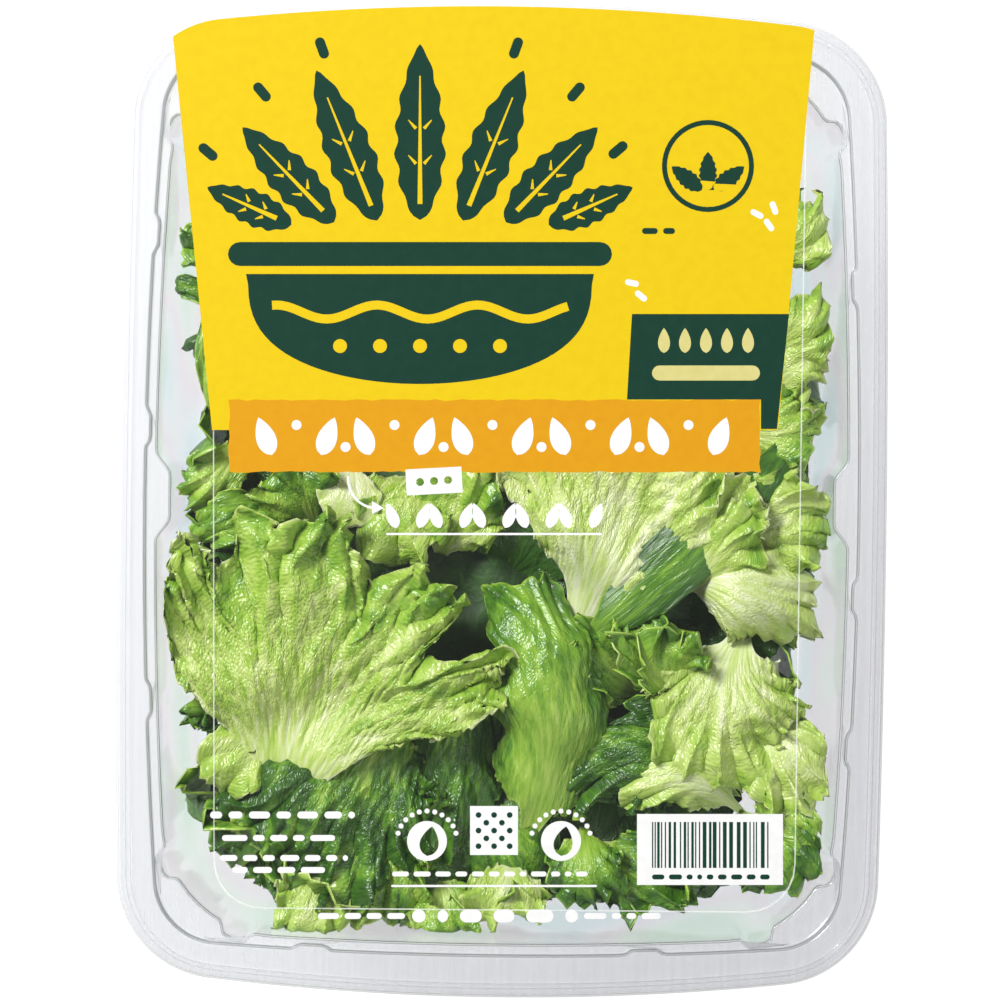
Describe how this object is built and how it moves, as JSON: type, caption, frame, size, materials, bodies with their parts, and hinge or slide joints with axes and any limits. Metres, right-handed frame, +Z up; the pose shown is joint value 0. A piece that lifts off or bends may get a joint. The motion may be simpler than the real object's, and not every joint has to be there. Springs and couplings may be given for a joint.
{
  "type": "sealed salad tray",
  "caption": "Shallow clear tray of loose lettuce leaves with a flanged rim, a stepped ledge and a flat printed film sealed over its top.",
  "frame": {"origin": "on the surface that the tray stands on, under the middle of the pack", "axes": "+Z up out of the film, +Y along the tray towards the end with the solid print, +X across the tray to the right as the print is read"},
  "size_m": [0.184, 0.2378, 0.058],
  "materials": {
    "clear_plastic": "clear, glossy, thermoformed",
    "printed_film": "printed film, satin",
    "lettuce": "moist leaf, pale ribs"
  },
  "bodies": {
    "root": {"tray": "clear_plastic", "lid_film": "printed_film", "lettuce": "lettuce"}
  },
  "joints": []
}
